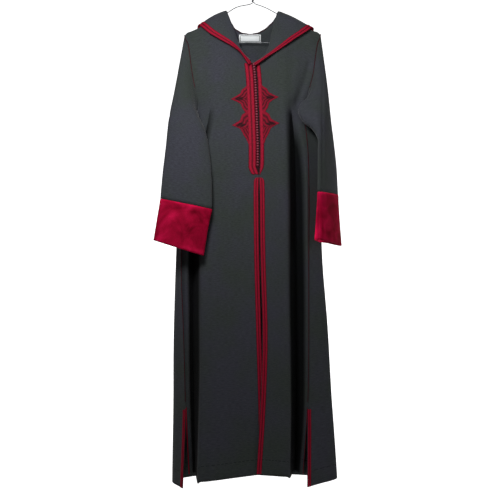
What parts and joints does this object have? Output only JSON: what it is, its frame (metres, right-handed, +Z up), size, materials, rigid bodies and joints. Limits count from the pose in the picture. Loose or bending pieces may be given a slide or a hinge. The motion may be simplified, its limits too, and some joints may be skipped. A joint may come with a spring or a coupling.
{
  "type": "djellaba robe on a wire hanger",
  "caption": "Long hooded djellaba robe hung on a bent-wire hanger, with a braided and buttoned chest placket, slit sides and front, and deep velvet cuffs.",
  "frame": {"origin": "inside top of the hanger's hook, where it rests on a rail", "axes": "+Z up along the hanging robe, +X to the left of whoever wears it, -Y out of its front"},
  "size_m": [0.5781, 0.1741, 1.5698],
  "materials": {
    "robe_cloth": "dark charcoal grey woven wool-like cloth, matt",
    "cuff_velvet": "crimson cut-pile velvet with brushed patches",
    "braid": "crimson woven silk-like braid, fine cross ribs",
    "seam_cord": "fine crimson twisted cord",
    "buttons": "small knotted silk-thread balls with a soft sheen",
    "label_tape": "pale satin-woven tape, bare",
    "hanger_wire": "plain galvanised steel wire"
  },
  "bodies": {
    "root": {"front_right": "robe_cloth", "front_left": "robe_cloth", "back": "robe_cloth", "sleeve_right": "robe_cloth", "sleeve_left": "robe_cloth", "hood": "robe_cloth", "cuff_right": "cuff_velvet", "cuff_left": "cuff_velvet", "hood_braid": "braid", "placket_right": "braid", "placket_left": "braid", "slit_braid_right": "braid", "slit_braid_left": "braid", "side_braid_front_right": "braid", "side_braid_front_left": "braid", "side_braid_back_right": "braid", "side_braid_back_left": "braid", "side_cord_right": "seam_cord", "side_cord_left": "seam_cord", "armhole_cord_right": "seam_cord", "armhole_cord_left": "seam_cord", "neck_cord": "seam_cord", "button_row": "buttons", "label": "label_tape", "hanger_hook": "hanger_wire", "hanger_frame": "hanger_wire"}
  },
  "joints": []
}
